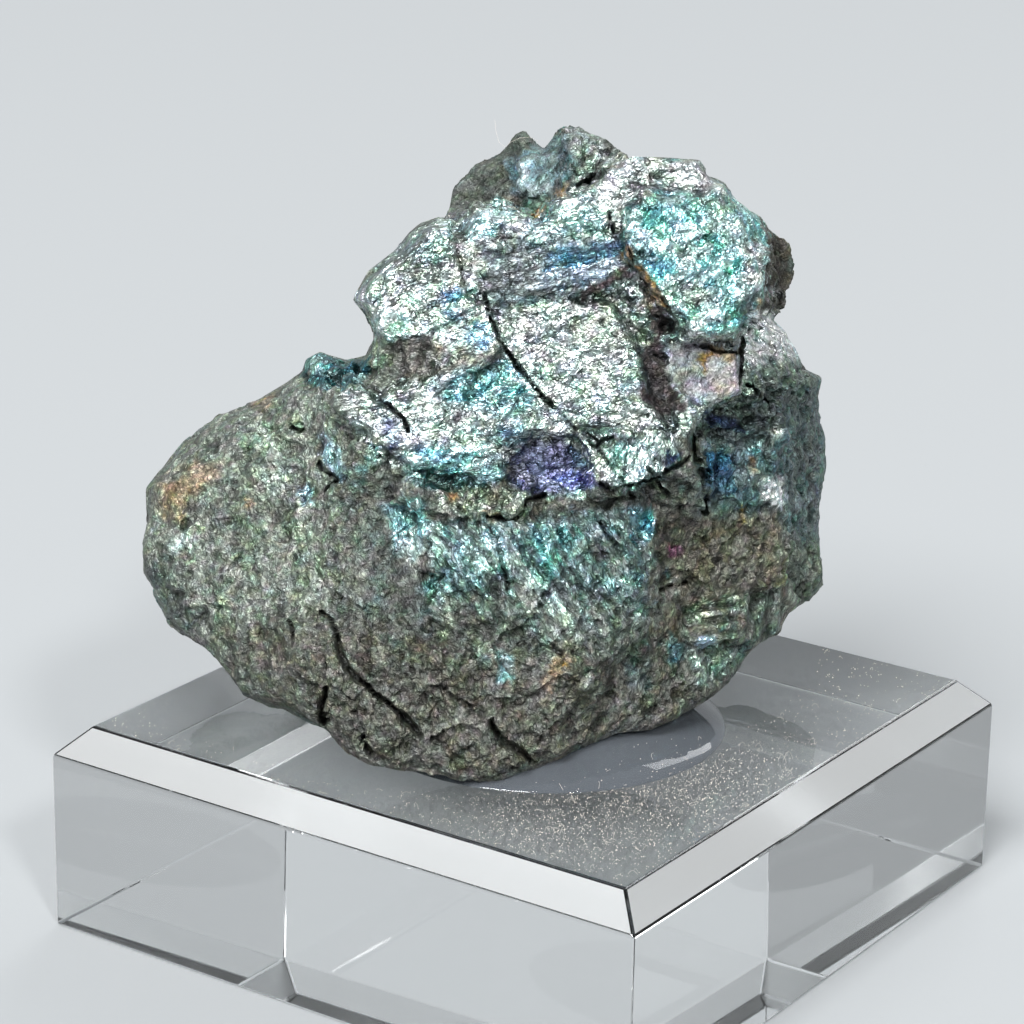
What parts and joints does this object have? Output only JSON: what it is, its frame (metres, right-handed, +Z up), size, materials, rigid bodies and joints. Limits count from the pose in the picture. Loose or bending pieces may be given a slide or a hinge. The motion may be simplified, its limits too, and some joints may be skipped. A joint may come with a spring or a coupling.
{
  "type": "chalcocite on a display block",
  "caption": "Rough lump of tarnished chalcocite, silver and turquoise in front, held by clear glue on a square bevelled clear acrylic display block.",
  "frame": {"origin": "middle of the acrylic block's underside, which rests on the surface below", "axes": "+Z up out of the block's top, X and Y along the block's sides; the stone's display side is at azimuth 34.46 degrees from -Y towards +X"},
  "size_m": [0.0388, 0.038, 0.0427],
  "materials": {
    "chalcocite": "rough metallic sulphide with turquoise and violet tarnish",
    "clear_glue": "smooth set drop, slightly cloudy",
    "clear_acrylic": "polished, clear"
  },
  "bodies": {
    "root": {"chalcocite": "chalcocite", "glue": "clear_glue", "acrylic_base": "clear_acrylic"}
  },
  "joints": []
}
